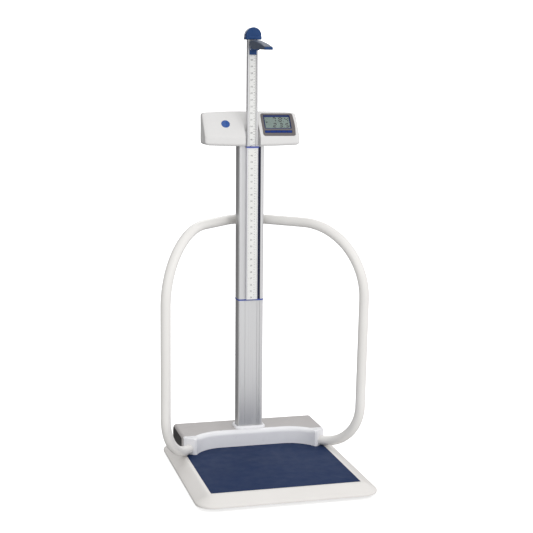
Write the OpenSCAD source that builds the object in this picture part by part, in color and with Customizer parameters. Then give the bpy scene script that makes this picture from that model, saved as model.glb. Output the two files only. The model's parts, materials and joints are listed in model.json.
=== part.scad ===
// Electronic physician scale: ramped platform, extruded column with a display head,
// telescoping height rod with a folding measuring arm, and a wrap-around handrail.
// Millimetres. X is across, +Y is away from the user, +Z is up; the floor is z = 0.

/* [Platform] */
// Width of the platform tray
tray_w = 678; // [640:2:720]
// Depth of the platform tray
tray_d = 760; // [740:2:800]
// Corner radius of the tray
tray_r = 65; // [50:1:80]
// Height of the standing surface
deck_z = 50; // [48:1:54]
// Height of the ramp's outer edge
ramp_z = 23.5; // [20:0.5:26]
// Width of the ramp, seen from above
ramp_w = 46; // [36:1:48]
// Width of the mat
mat_w = 558.8; // [540:0.2:564]
// Thickness of the mat
mat_t = 4; // [3:0.5:5]

/* [Housing] */
// Height of the housing's top
housing_z = 113.6; // [106:0.2:118]
// Half width of the housing
housing_x = 290; // [284:1:292]
// Back of the housing
housing_back = 376; // [366:1:378]
// Distance of the flat part of the fascia behind the centre
fascia_y = 201; // [196:1:206]
// Radius of the two curved ends of the foot bay
bay_r = 131; // [127:1:133]

/* [Column] */
// Width of the column extrusion
column_w = 102; // [98:1:106]
// Depth of the column extrusion
column_d = 60; // [58:1:62]
// Front face of the column
column_y = 237; // [234:0.5:240]
// Height of the joint between the two extrusions
joint_z = 634; // [600:1:660]
// Top of the column, inside the display head
column_top = 1300; // [1290:1:1305]

/* [Height rod] */
// Width of the rod
rod_w = 41; // [38:0.5:42]
// Depth of the rod
rod_d = 24; // [22:0.5:25]
// Front face of the rod
rod_y = 225.2; // [224:0.2:228]
// Lower end of the rod when it is pushed down
rod_z = 706; // [690:1:720]
// Upper end of the rod inside its cap
rod_top = 1680; // [1670:1:1685]

/* [Measuring arm] */
// Width of the measuring arm
arm_w = 31; // [29:0.5:34]
// Reach of the arm in front of its hinge
arm_reach = 216; // [190:1:222]
// Height of the arm's hinge
hinge_z = 1622; // [1616:1:1624]

/* [Display head] */
// Width of the display head
head_w = 378; // [360:2:400]
// Tilt of the display face from vertical
face_tilt = 36; // [30:1:40]

/* [Handrail] */
// Outer diameter of the handrail tube
rail_od = 38.1; // [34:0.1:38.4]
// Wall of the handrail tube
rail_wall = 2; // [1.5:0.1:3]
// Height of the handrail's top run
rail_z = 947; // [900:1:980]
// Height at which the handrail enters the housing
rail_low_z = 71; // [70.5:0.5:76]

/* [Feet] */
// Distance of the feet from the centre, across
foot_x = 250; // [240:1:256]
// Distance of the feet from the centre, front to back
foot_y = 300; // [290:1:306]

/* [Hidden] */
KEYS = 5;
FEET = 4;
KEY_NODES = [for (i = [1 : KEYS]) str("key_", i)];
FOOT_NODES = [for (i = [1 : FEET]) str("foot_", i)];
PAD_NODES = [for (i = [1 : FEET]) str("foot_pad_", i)];

$fn = 64;
eps = 0.02;
gap = 0.3;

wall = 4;
mat_front = -314;
mat_back = 220;
deck_t = 5;
skirt_z = 14;
frame_top = deck_z - mat_t - deck_t;
frame_h = 16;
cell_z = 11;
cell_h = 12;

band_w = 24;
ear_front = 131;
ear_x = 250;
ear_back = 178;
ear_out = [285.4, 161.2];
ear_turn = atan2(ear_out[1] - ear_front, ear_out[0] - ear_x);
cap_t = 4;
cap_edge = 10;
back_r = 22;
end_r = 12;
ramp_back = tray_d / 2 - ramp_w;
bay_flat = 125;

column_back = column_y + column_d;
plate_z = 60;
ring_h = 5.5;
upper_z = joint_z + ring_h;
channel_x = rod_w / 2 + 0.4;
channel_back = rod_y + rod_d + 0.6;
slot_x = [25.7, 36.7];
slot_d = 4;
rule_top = 1237;

rod_x = rod_w / 2;
rod_back = rod_y + rod_d;
track_x = 14.5;
track_d = 4.8;
lip_d = 2;
undercut = 2.5;
cap_z = 1650;
cap_top = 1697.5;
cap_r = 31;

hinge_y = 203;
pin_r = 3;
pin_fit = 0.05;
knuckle_r = 10;
neck_x = 10;
fork_x = neck_x + gap;
fork_t = 26;
arm_back = 17;
arm_corner = 4;

face_foot = [0, 214, 1280];
head_x = head_w / 2;
shell_t = 3;
split_depth = 46;
key_w = 19.4;
key_pitch = 22;
key_x = 51 + key_w / 2;
key_s = 23.5;
key_h = 9.5;

rail_r = rail_od / 2;
rail_end = [232, 190, rail_low_z];
rail_foot = [384, 12, rail_low_z];
rail_shoulder = [387, -22, rail_z];
rail_apex = [0, 408, rail_z];
foot_bend = 175;
shoulder_bend = 272;
apex_bend = 110;

// ---- shared shapes -------------------------------------------------------------

module rounded_rect(w, d, r) {
    square([w - 2 * r, d], center = true);
    square([w, d - 2 * r], center = true);
    for (x = [-1, 1], y = [-1, 1]) translate([x * (w / 2 - r), y * (d / 2 - r)]) circle(r = r);
}

module block(low, high) {
    translate(low) cube(high - low);
}

module rod_along_y(x, z, y0, y1, r) {
    translate([x, y1, z]) rotate([90, 0, 0]) cylinder(h = y1 - y0, r = r);
}

module rod_along_x(y, z, x0, x1, r) {
    translate([x0, y, z]) rotate([0, 90, 0]) cylinder(h = x1 - x0, r = r);
}

// ---- platform ------------------------------------------------------------------

module ramp_solid(inset, z0, z1) {
    hull()
        for (x = [-1, 1], y = [-1, 1])
            translate([x * (tray_w / 2 - tray_r), y * (tray_d / 2 - tray_r), z0])
                cylinder(h = z1 - z0, r1 = tray_r - inset, r2 = tray_r - ramp_w - inset / 2);
}

module plate_bolt_holes(z0, z1, r) {
    for (x = [-68, 68], y = [column_y + 6, column_back - 6])
        translate([x, y, z0]) cylinder(h = z1 - z0, r = r);
}

module platform_tray() {
    color("whitesmoke")
    difference() {
        union() {
            ramp_solid(0, ramp_z, deck_z);
            translate([0, 0, skirt_z])
                linear_extrude(ramp_z - skirt_z) rounded_rect(tray_w, tray_d, tray_r);
        }
        ramp_solid(5, ramp_z - deck_t, frame_top);
        translate([0, 0, skirt_z - 1])
            linear_extrude(ramp_z - deck_t - skirt_z + 1 + eps)
                rounded_rect(tray_w - 10, tray_d - 10, tray_r - 5);
        block([-mat_w / 2 - gap, mat_front - gap, deck_z - mat_t],
              [mat_w / 2 + gap, mat_back + gap, deck_z + 1]);
        plate_bolt_holes(frame_top - 1, deck_z + 1, 5.2);
    }
}

module platform_mat() {
    color("midnightblue")
    translate([0, (mat_front + mat_back) / 2, deck_z - mat_t])
        linear_extrude(mat_t) rounded_rect(mat_w, mat_back - mat_front, 3);
}

module base_frame() {
    z0 = frame_top - frame_h;
    color("dimgray")
    difference() {
        union() {
            for (y = [-215, 215]) block([-270, y - 20, z0], [270, y + 20, frame_top]);
            for (x = [-200, 200]) block([x - 20, -235, z0], [x + 20, 235, frame_top]);
            for (x = [-80, 80]) block([x - 20, -235, z0], [x + 20, 325, frame_top]);
            block([-100, 195, frame_top - 12], [100, 325, frame_top]);
        }
        plate_bolt_holes(z0 - 1, frame_top + 1, 5.2);
        for (x = [-foot_x, foot_x], s = [-1, 1], y = [205, 225])
            translate([x, s * y, z0 - 1]) cylinder(h = frame_h + 2, r = 3.2);
    }
}

module load_cells() {
    color("silver")
    for (x = [-foot_x, foot_x], s = [0, 1])
        mirror([0, s, 0])
            difference() {
                union() {
                    block([x - 13, 195, cell_z], [x + 13, 313, cell_z + cell_h]);
                    block([x - 13, 197, cell_z], [x + 13, 233, frame_top - frame_h]);
                }
                for (y = [255, 269]) rod_along_x(y, cell_z + cell_h / 2, x - 14, x + 14, 4);
                block([x - 14, 255, cell_z + cell_h / 2 - 1], [x + 14, 269, cell_z + cell_h / 2 + 1]);
                for (y = [205, 225])
                    translate([x, y, cell_z - 1]) cylinder(h = cell_h + 6, r = 3.2);
                translate([x, foot_y, cell_z - 1]) cylinder(h = cell_h + 2, r = 4 + pin_fit);
            }
}

module place_foot(i) {
    x = i % 2 == 1 ? -foot_x : foot_x;
    y = i <= 2 ? -foot_y : foot_y;
    translate([x, y, 0]) children();
}

module foot(i) {
    color("gray")
    place_foot(i) {
        translate([0, 0, 2.5]) cylinder(h = 4, r = 22);
        translate([0, 0, 6.5]) cylinder(h = 2, r1 = 22, r2 = 12);
        translate([0, 0, 8]) cylinder(h = 2, r = 9, $fn = 6);
        translate([0, 0, 9]) cylinder(h = 15, r = 4);
    }
}

module foot_pad(i) {
    color("black")
    place_foot(i)
        difference() {
            cylinder(h = 2.5, r = 24);
            translate([0, 0, -1]) cylinder(h = 2, r = 12);
        }
}

// ---- rear housing --------------------------------------------------------------

// Half of the housing's plan, from the front of the ear to the back, moved inwards by inset.
function housing_side(inset) =
    [[ear_x - inset * tan(ear_turn / 2), ear_front + inset],
     [ear_out[0] - inset, ear_out[1] + inset * tan(45 - ear_turn / 2)],
     [ear_out[0] - inset, ear_back],
     [housing_x - inset, ear_back],
     [housing_x - inset, housing_back - inset]];

module housing_plan(inset) {
    side = housing_side(inset);
    polygon(concat(side, [for (i = [len(side) - 1 : -1 : 0]) [-side[i][0], side[i][1]]]));
}

// The housing seen from the front: its top rounds down to both ends.
module housing_arch(inset) {
    x = housing_x - inset;
    top = housing_z - inset;
    r = end_r - inset;
    translate([0, housing_back + 1, 0]) rotate([90, 0, 0])
        linear_extrude(housing_back) {
            translate([-x, 0]) square([2 * x, top - r]);
            translate([r - x, 0]) square([2 * (x - r), top]);
            for (s = [-1, 1]) translate([s * (x - r), top - r]) circle(r = r, $fn = 96);
        }
}

module foot_bay(grow) {
    translate([-bay_flat, 0]) square([2 * bay_flat, fascia_y + grow]);
    for (s = [-1, 1])
        translate([s * bay_flat, fascia_y - bay_r]) circle(r = bay_r + grow, $fn = 96);
}

module fascia_plan() {
    difference() {
        intersection() {
            housing_plan(0);
            union() {
                foot_bay(band_w);
                translate([-300, 0]) square([600, ear_back]);
            }
        }
        foot_bay(0);
    }
}

module rail_bore(r) {
    for (s = [0, 1])
        mirror([s, 0, 0])
            translate(rail_end)
                rotate([0, 90, atan2(rail_foot[1] - rail_end[1], rail_foot[0] - rail_end[0])])
                    translate([0, 0, -1]) cylinder(h = 70, r = r);
}

module front_fascia() {
    color("white")
    difference() {
        intersection() {
            translate([0, 0, deck_z]) linear_extrude(housing_z - deck_z) fascia_plan();
            housing_arch(0);
        }
        intersection() {
            translate([0, 0, deck_z - 1])
                linear_extrude(housing_z)
                    difference() {
                        housing_plan(wall);
                        foot_bay(wall);
                    }
            housing_arch(wall);
        }
        rail_bore(rail_r + gap);
    }
}

function ramp_height(y) = deck_z - (y - ramp_back) * (deck_z - ramp_z) / ramp_w;

// The rear cover seen from the side: behind the deck its lower edge follows the ramp.
// It is drawn inset from the outside, and drop carries it through the lower edge.
module cover_side(inset, drop) {
    back = housing_back - inset;
    top = housing_z - inset;
    r = back_r - inset;
    lift = gap - drop;
    low = deck_z - drop;
    translate([100, low]) {
        square([back - r - 100, top - low]);
        square([back - 100, top - r - low]);
    }
    translate([back - r, top - r]) circle(r = r, $fn = 96);
    polygon([[ramp_back, deck_z + 2], [ramp_back, deck_z + lift], [back, ramp_height(back) + lift],
             [back, deck_z + 2]]);
}

module along_x(x0, x1) {
    translate([x0, 0, 0]) rotate([90, 0, 90]) linear_extrude(x1 - x0) children();
}

module rear_plan() {
    difference() {
        translate([-housing_x, 0]) square([2 * housing_x, housing_back]);
        foot_bay(band_w);
        translate([-300, 0]) square([600, ear_back]);
    }
}

// The plate in the housing's right end; play makes the pocket that it sits in.
module end_plate(play) {
    intersection() {
        along_x(housing_x - cap_t - play, housing_x + 10 * play) cover_side(cap_edge - play, 10 * play);
        block([0, ear_back + cap_edge - play, 0], [housing_x + 1, housing_back, housing_z]);
    }
}

module rear_cover() {
    inner_x = housing_x - cap_t - wall;
    color("darkgray")
    difference() {
        intersection() {
            along_x(-housing_x, housing_x) cover_side(0, 0);
            translate([0, 0, ramp_z]) linear_extrude(housing_z) rear_plan();
            housing_arch(0);
        }
        intersection() {
            along_x(-inner_x, inner_x) cover_side(wall, 1);
            housing_arch(wall);
        }
        for (s = [0, 1]) mirror([s, 0, 0]) end_plate(0.1);
        block([-column_w / 2 - gap, column_y - gap, deck_z],
              [column_w / 2 + gap, column_back + gap, housing_z + 1]);
    }
}

module end_cap(side) {
    color("darkslategray") mirror([side, 0, 0]) end_plate(0);
}

module rail_sockets() {
    turn = atan2(rail_foot[1] - rail_end[1], rail_foot[0] - rail_end[0]);
    color("gray")
    difference() {
        for (s = [0, 1])
            mirror([s, 0, 0])
                translate([rail_end[0], rail_end[1], 0]) rotate([0, 0, turn])
                    block([8, -20.8, deck_z + 0.2], [50.2, 21, rail_low_z + 24]);
        rail_bore(rail_r + 0.1);
    }
}

module junction_board() {
    color("green") {
        block([-200, 260, deck_z + 12], [-110, 330, deck_z + 13.6]);
        for (x = [-192, -118], y = [268, 322]) translate([x, y, deck_z]) cylinder(h = 12, r = 3);
        for (x = [-185, -160, -135]) block([x, 312, deck_z + 13.6], [x + 14, 328, deck_z + 23]);
        block([-175, 272, deck_z + 13.6], [-150, 292, deck_z + 17]);
    }
}

// ---- column --------------------------------------------------------------------

module column_outline(grow) {
    translate([0, column_y + column_d / 2])
        rounded_rect(column_w + 2 * grow, column_d + 2 * grow, 9 + grow);
}

module rear_chamber(inset) {
    translate([0, (channel_back + 4 + column_back - 3) / 2])
        rounded_rect(column_w - 6 - 2 * inset, column_back - channel_back - 7 - 2 * inset, 5);
}

module column_section(rod_channel) {
    front = column_y + slot_d + 2.5;
    back = channel_back + 1;
    difference() {
        column_outline(0);
        rear_chamber(0);
        for (s = [-1, 1]) translate([s * 24 - 0.8, column_y - 1]) square([1.6, 2.4]);
        translate([slot_x[0], column_y - 1]) square([slot_x[1] - slot_x[0], slot_d + 1]);
        translate([-column_w / 2 + 3, column_y + 9]) square([22, back - column_y - 9]);
        translate([column_w / 2 - 25, front]) square([22, back - front]);
        if (rod_channel)
            translate([-channel_x, column_y - 1]) square([2 * channel_x, channel_back - column_y + 1]);
        else
            translate([-20, column_y + 3]) square([40, back - column_y - 3]);
    }
}

module column_foot_plate() {
    color("gray") {
        difference() {
            block([-85, column_y - 12, deck_z], [85, column_back + 12, plate_z]);
            plate_bolt_holes(deck_z - 1, plate_z + 1, 5.2);
            translate([30, 275, deck_z - 1]) cylinder(h = 20, r = 4);
        }
        translate([0, 0, plate_z])
            linear_extrude(50)
                difference() {
                    rear_chamber(gap);
                    rear_chamber(4);
                }
    }
}

module foot_plate_bolts() {
    color("silver") {
        plate_bolt_holes(frame_top - 12, plate_z, 5);
        for (x = [-68, 68], y = [column_y + 6, column_back - 6])
            translate([x, y, plate_z]) cylinder(h = 6, r = 8.5, $fn = 6);
    }
}

module column_collar() {
    color("white")
    translate([0, 0, housing_z])
        linear_extrude(10)
            difference() {
                translate([0, column_y + column_d / 2]) rounded_rect(column_w + 24, column_d + 24, 18);
                column_outline(gap);
            }
}

module lower_column() {
    color("lightgray")
    translate([0, 0, plate_z]) linear_extrude(joint_z - plate_z) column_section(false);
}

module column_sleeve() {
    color("gray")
    translate([0, 0, joint_z - 90])
        linear_extrude(180)
            difference() {
                rear_chamber(gap);
                rear_chamber(3);
            }
}

module column_ring() {
    color("royalblue")
    translate([0, 0, joint_z])
        linear_extrude(ring_h)
            difference() {
                column_outline(1.2);
                rear_chamber(0);
            }
}

module upper_column() {
    color("lightgray")
    translate([0, 0, upper_z]) linear_extrude(column_top - upper_z) column_section(true);
}

module slot_strip() {
    color("midnightblue")
    block([slot_x[0] + 0.1, column_y + 0.3, upper_z], [slot_x[1] - 0.1, column_y + slot_d, rule_top + 4]);
}

module rule_cover() {
    x = channel_x + 1.4;
    color("lightgray")
    difference() {
        block([-x, rod_y - 2.4, upper_z + 1], [x, column_y, rule_top]);
        block([-channel_x, rod_y - gap, upper_z], [channel_x, column_y + 1, rule_top + 1]);
    }
}

module fixed_rule() {
    color("white")
    block([-19, rod_y - 2.8, upper_z + 3], [19, rod_y - 2.4, rule_top - 2]);
}

module rule_bushing() {
    color("royalblue")
    difference() {
        block([-25, rod_y - 5.2, rule_top], [25, column_y, rule_top + 6]);
        block([-channel_x, rod_y - gap, rule_top - 1], [channel_x, column_y + 1, rule_top + 7]);
    }
}

module signal_cable() {
    color("black")
    translate([30, 275, deck_z + 2]) cylinder(h = column_top - deck_z, r = 3);
}

// ---- height rod ----------------------------------------------------------------

module height_rod() {
    color("lightgray")
    translate([0, 0, rod_z])
        linear_extrude(rod_top - rod_z)
            difference() {
                translate([-rod_x, rod_y]) square([rod_w, rod_d]);
                translate([-track_x, rod_y - 1]) square([2 * track_x, track_d + 1]);
                translate([-track_x - undercut, rod_y + lip_d])
                    square([2 * (track_x + undercut), track_d - lip_d]);
                translate([-rod_x + 2, rod_y + track_d + 2]) square([rod_w - 4, rod_d - track_d - 4]);
            }
}

module rod_rule() {
    color("white")
    block([-14.2, rod_y + track_d - 0.4, rod_z + 12], [14.2, rod_y + track_d, cap_z - 1]);
}

module rod_glide() {
    color("black")
    difference() {
        block([-rod_x - 0.2, rod_y - 0.15, rod_z - 8], [rod_x + 0.2, rod_back + 0.3, rod_z]);
        block([-8, rod_y + 8, rod_z - 9], [8, rod_back - 4, rod_z + 1]);
    }
}

module rod_cap() {
    color("steelblue")
    difference() {
        translate([0, rod_back + 6, 0]) rotate([90, 0, 0])
            linear_extrude(rod_d + 22)
                difference() {
                    union() {
                        translate([0, cap_top - cap_r]) circle(r = cap_r, $fn = 96);
                        translate([-cap_r, cap_z]) square([2 * cap_r, cap_top - cap_r - cap_z]);
                    }
                    translate([-cap_r - 1, cap_z - 2 * cap_r]) square([2 * cap_r + 2, 2 * cap_r]);
                }
        block([-rod_x - 0.1, rod_y - 0.1, cap_z - 1], [rod_x + 0.1, rod_back + 0.1, rod_top]);
    }
}

// ---- carriage and measuring arm --------------------------------------------------

module carriage() {
    foot_back = rod_y + track_d - 0.7;
    low = hinge_z - 29;
    color("steelblue")
    difference() {
        union() {
            block([-track_x + gap, rod_y - 2.4, low], [track_x - gap, foot_back, hinge_z - 4]);
            block([-track_x - undercut + gap, rod_y + lip_d + 0.2, low],
                  [track_x + undercut - gap, foot_back, hinge_z + knuckle_r]);
            block([-neck_x, hinge_y, hinge_z - 11], [neck_x, foot_back, hinge_z + knuckle_r]);
            rod_along_x(hinge_y, hinge_z, -neck_x, neck_x, knuckle_r);
        }
        rod_along_x(hinge_y, hinge_z, -neck_x - 1, neck_x + 1, pin_r);
    }
}

module hinge_pin() {
    color("silver")
    rod_along_x(hinge_y, hinge_z, -arm_w / 2 + 1, arm_w / 2 - 1, pin_r);
}

module arm_side() {
    tip = -arm_reach;
    translate([hinge_y, hinge_z])
        polygon([[arm_back, 2], [-60, 2], [tip + 40, -1.5], [tip, -5.5], [tip, -15.5], [-40, -10],
                 [-17, -9], [-13, -13], [9, -13], [arm_back, -5]]);
}

// The grey cover from the side; inset leaves its wall.
module cover_top_side(inset) {
    tip = -arm_reach;
    centre = [arm_back - arm_corner, 24 - arm_corner];
    corner = [for (a = [0 : 15 : 90]) centre + arm_corner * [cos(a), sin(a)] - [inset, inset]];
    translate([hinge_y, hinge_z])
        polygon(concat([[arm_back - inset, 2 - inset]], corner,
                       [[-43, 24 - inset], [-100, 16.5 - inset], [tip + 52, 5 - inset],
                        [tip + 40, 1.5 - inset]]));
}

module measuring_arm() {
    color("steelblue")
    difference() {
        union() {
            along_x(-arm_w / 2, arm_w / 2) arm_side();
            rod_along_x(hinge_y, hinge_z, -arm_w / 2 + 2.4, arm_w / 2 - 2.4, 8);
        }
        block([-fork_x, hinge_y - fork_t, hinge_z - 30], [fork_x, hinge_y + 30, hinge_z + 10]);
        rod_along_x(hinge_y, hinge_z, -arm_w, arm_w, pin_r + pin_fit);
    }
}

module arm_cover() {
    color("slategray")
    difference() {
        along_x(-arm_w / 2, arm_w / 2)
            difference() {
                cover_top_side(0);
                translate([hinge_y - 300, hinge_z - 40]) square([400, 42.05]);
            }
        along_x(-arm_w / 2 + 2, arm_w / 2 - 2) cover_top_side(2.4);
        block([-fork_x, hinge_y - fork_t, hinge_z], [fork_x, hinge_y + 30, hinge_z + 12]);
        rod_along_x(hinge_y, hinge_z, -arm_w, arm_w, pin_r + gap);
    }
}

// ---- display head --------------------------------------------------------------

// Children are drawn in the face's own frame: x across, -y out of the face, z up the slope.
module on_face() {
    translate(face_foot) rotate([-face_tilt, 0, 0]) children();
}

function face_point(s, depth) =
    [face_foot[1] + s * sin(face_tilt) + depth * cos(face_tilt),
     face_foot[2] + s * cos(face_tilt) - depth * sin(face_tilt)];

module head_slice(x0, x1, top_s, low_s, trim_back, trim_low, thin) {
    along_x(x0, x1)
        hull() {
            translate(face_point(top_s, 10)) circle(r = 10 - thin, $fn = 32);
            translate(face_point(low_s, 8)) circle(r = 8 - thin, $fn = 32);
            translate([226, 1256.5 + trim_low]) circle(r = 12 - thin, $fn = 32);
            translate([310 - trim_back, 1361.5 - trim_low / 2]) circle(r = 12 - thin, $fn = 32);
            translate([310 - trim_back, 1256.5 + trim_low]) circle(r = 12 - thin, $fn = 32);
        }
}

module head_solid(thin) {
    hull() {
        head_slice(-80, 80, 115, 2, 0, 0, thin);
        for (s = [-1, 1]) {
            head_slice(s * 176 - 2, s * 176 + 2, 110, 3, 1, 3, thin);
            tip = s * (head_x - 1 - thin);
            head_slice(tip - 0.5, tip + 0.5, 102, 8, 8, 8, thin);
        }
    }
}

module channel_cut(x, y) {
    block([-x, 180, 1200], [x, y, 1400]);
}

module column_cut() {
    block([-column_w / 2 - gap, column_y - gap, 1200],
          [column_w / 2 + gap, column_back + gap, column_top + gap]);
}

module display_window_cut() {
    on_face() block([48, -10, 11], [164, 6, 101]);
}

module head_shell() {
    difference() {
        union() {
            difference() {
                head_solid(0);
                head_solid(shell_t);
            }
            intersection() {
                head_solid(0);
                channel_cut(33, 254.5);
            }
        }
        channel_cut(30, 251.5);
        column_cut();
    }
}

module behind_split() {
    on_face() block([-300, split_depth, -200], [300, split_depth + 300, 300]);
}

module head_front_shell() {
    color("white")
    difference() {
        head_shell();
        behind_split();
        display_window_cut();
        on_face() block([42, -5, 4], [173.8, 1.2, 109.3]);
    }
}

module head_rear_shell() {
    color("white")
    difference() {
        intersection() {
            head_shell();
            behind_split();
        }
        block([-166, 300, 1262], [-64, 340, 1338]);
        rod_along_y(150, 1285, 290, 340, 6.2);
    }
}

module display_bezel() {
    color("dimgray")
    on_face()
        difference() {
            union() {
                block([42.3, -0.6, 4.3], [173.5, 1.2, 109]);
                block([49, 1.2, 12], [163, 4, 100.5]);
            }
            block([53, -10, 38], [159, 6, 100]);
            for (i = [0 : KEYS - 1]) key_space(i, gap, 8);
        }
}

module key_space(i, grow, depth) {
    x = key_x + i * key_pitch;
    block([x - key_w / 2 - grow, -3, key_s - key_h / 2 - grow],
          [x + key_w / 2 + grow, depth, key_s + key_h / 2 + grow]);
}

module key(i) {
    x = key_x + (i - 1) * key_pitch;
    color("navy")
    on_face() {
        block([x - key_w / 2, -1.6, key_s - key_h / 2], [x + key_w / 2, 2.2, key_s + key_h / 2]);
        translate([x, 7, key_s]) rotate([90, 0, 0]) cylinder(h = 6, r = 2.5);
    }
}

module lcd_window() {
    color("lightblue", 0.5)
    on_face() block([53.2, -0.2, 38.2], [158.8, 1.6, 99.8]);
}

module lcd_panel() {
    color("olive")
    on_face() block([55, 4.4, 40], [157, 8, 98]);
}

module display_board() {
    color("green")
    on_face() {
        block([52, 10, 14], [163, 11.6, 100]);
        block([60, 11.6, 40], [100, 15, 60]);
        block([120, 11.6, 60], [150, 20, 76]);
        for (i = [0 : KEYS - 1]) {
            x = key_x + i * key_pitch;
            block([x - 3.5, 8, key_s - 3.5], [x + 3.5, 10, key_s + 3.5]);
        }
    }
}

module head_bracket() {
    color("gray") {
        block([-49, column_back + gap, 1250], [49, column_back + 3.3, 1345]);
        block([-49, column_y + 28, column_top + 6], [49, column_back + gap, column_top + 9]);
    }
}

module battery_pack() {
    color("darkgreen")
    for (x = [-160, -108], z = [1276, 1292, 1308]) rod_along_x(285, z, x, x + 50, 7.2);
    color("dimgray")
    block([-160, 275.6, 1264], [-58, 277.6, 1330]);
}

module battery_cover() {
    color("white")
    intersection() {
        head_solid(0);
        difference() {
            block([-165.6, 300.3, 1262.4], [-64.4, 340, 1337.6]);
            head_solid(shell_t);
        }
    }
}

module supply_inlet() {
    color("black")
    difference() {
        union() {
            rod_along_y(150, 1285, 302, 321, 6);
            rod_along_y(150, 1285, 313.6, 317.6, 9);
        }
        rod_along_y(150, 1285, 309, 330, 2.8);
    }
    color("silver")
    rod_along_y(150, 1285, 305, 318, 1);
}

module head_badge() {
    color("royalblue")
    on_face() translate([-102, 0, 60]) rotate([90, 0, 0])
        difference() {
            cylinder(h = 0.9, r = 17);
            translate([0, 0, 0.4]) cylinder(h = 2, r = 12);
        }
}

module head_screws() {
    color("silver")
    for (x = [-40, 40], z = [1258, 1338]) rod_along_y(x, z, column_back + 3.3, column_back + 7, 4.5);
}

// ---- handrail ------------------------------------------------------------------

function unit(v) = v / norm(v);
function turn_angle(a, b, c) = acos(unit(b - a) * unit(c - b));
function setback(a, b, c, bend) = bend * tan(turn_angle(a, b, c) / 2);
function bend_in(a, b, c, bend) = b - unit(b - a) * setback(a, b, c, bend);
function bend_out(a, b, c, bend) = b + unit(c - b) * setback(a, b, c, bend);

// Points and directions along the bend at corner b, for the given steps out of n.
function bend_path(a, b, c, bend, n, steps) =
    let (along = unit(b - a),
         inward = unit(cross(cross(b - a, c - b), along)),
         centre = bend_in(a, b, c, bend) + inward * bend,
         total = turn_angle(a, b, c))
    [for (i = [0 : steps])
        let (q = total * i / n)
        [centre - inward * bend * cos(q) + along * bend * sin(q), along * cos(q) + inward * sin(q)]];

rail_far = [-rail_shoulder[0], rail_shoulder[1], rail_z];
rail_path = concat(
    [[rail_end, unit(rail_foot - rail_end)]],
    bend_path(rail_end, rail_foot, rail_shoulder, foot_bend, 12, 12),
    bend_path(rail_foot, rail_shoulder, rail_apex, shoulder_bend, 14, 14),
    bend_path(rail_shoulder, rail_apex, rail_far, apex_bend, 14, 7));

// One ring of the tube round a point of the path.
function ring(at, r, sides) =
    let (side = unit(cross(at[1], [0.76, 0.65, 0])), up = cross(at[1], side))
    [for (k = [0 : sides - 1]) at[0] + r * (side * cos(360 * k / sides) + up * sin(360 * k / sides))];

// A hollow tube along a path: the outer rings come first, then the inner ones.
module tube_along(path, outer, inner, sides) {
    n = len(path);
    far_in = n * sides;
    points = concat([for (at = path) each ring(at, outer, sides)],
                    [for (at = path) each ring(at, inner, sides)]);
    skin = [for (i = [0 : n - 2], k = [0 : sides - 1])
        let (a = i * sides + k, b = i * sides + (k + 1) % sides)
        [a, a + sides, b + sides, b]];
    bore = [for (q = skin) [q[3] + far_in, q[2] + far_in, q[1] + far_in, q[0] + far_in]];
    ends = [for (e = [0, n - 1], k = [0 : sides - 1])
        let (a = e * sides + k, b = e * sides + (k + 1) % sides)
        e == 0 ? [a, b, b + far_in, a + far_in] : [a + far_in, b + far_in, b, a]];
    polyhedron(points, concat(skin, bore, ends));
}

module handrail_half() {
    tube_along(rail_path, rail_r, rail_r - rail_wall, 24);
}

module handrail_right() {
    color("ivory") handrail_half();
}

module handrail_left() {
    color("ivory") mirror([1, 0, 0]) handrail_half();
}

module apex_groove(r) {
    far = [-rail_shoulder[0], rail_shoulder[1], rail_z];
    half = turn_angle(rail_shoulder, rail_apex, far) / 2;
    centre_y = rail_apex[1] - apex_bend / cos(half);
    translate([0, centre_y, rail_z]) rotate_extrude($fn = 96) translate([apex_bend, 0]) circle(r = r);
}

module clamp_holes(y0, y1, r) {
    for (x = [-20, 20], z = [rail_z - 26, rail_z + 26]) rod_along_y(x, z, y0, y1, r);
}

module rail_saddle() {
    color("gray")
    difference() {
        block([-28, column_back, rail_z - 33], [28, 351, rail_z + 33]);
        apex_groove(rail_r + 0.1);
        clamp_holes(330, 352, 3.1);
    }
}

module rail_clamp() {
    color("gray")
    difference() {
        block([-28, 352, rail_z - 33], [28, 379, rail_z + 33]);
        apex_groove(rail_r + 0.1);
        clamp_holes(351, 380, 3.1);
        clamp_holes(374, 380, 5.6);
    }
}

module clamp_screws() {
    color("silver") {
        clamp_holes(331, 374, 3);
        clamp_holes(374, 378.6, 5.3);
    }
}

platform_tray();
platform_mat();
base_frame();
load_cells();
junction_board();
column_foot_plate();
foot_plate_bolts();
rear_cover();
front_fascia();
end_cap(1);  // end_cap_left
end_cap(0);  // end_cap_right
column_collar();
lower_column();
column_sleeve();
column_ring();
upper_column();
slot_strip();
rule_cover();
fixed_rule();
rule_bushing();
signal_cable();
head_bracket();
head_front_shell();
head_rear_shell();
display_bezel();
lcd_window();
lcd_panel();
display_board();
battery_pack();
battery_cover();
supply_inlet();
head_badge();
head_screws();
handrail_left();
handrail_right();
rail_sockets();
rail_saddle();
rail_clamp();
clamp_screws();
height_rod();
rod_rule();
rod_glide();
rod_cap();
carriage();
hinge_pin();
measuring_arm();
arm_cover();
for (i = [1 : KEYS]) key(i);
for (i = [1 : FEET]) foot(i);
for (i = [1 : FEET]) foot_pad(i);
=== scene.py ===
"""Looks for an electronic physician scale: platform, column, display head, height rod and handrail.

Shapes are written in millimetres in the part's own frame (X across, +Y away from the user,
+Z up, floor at z = 0) and become metres when their mesh is made.
"""

import json
import math

import bmesh
import bpy
from mathutils import Matrix, Vector


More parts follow.
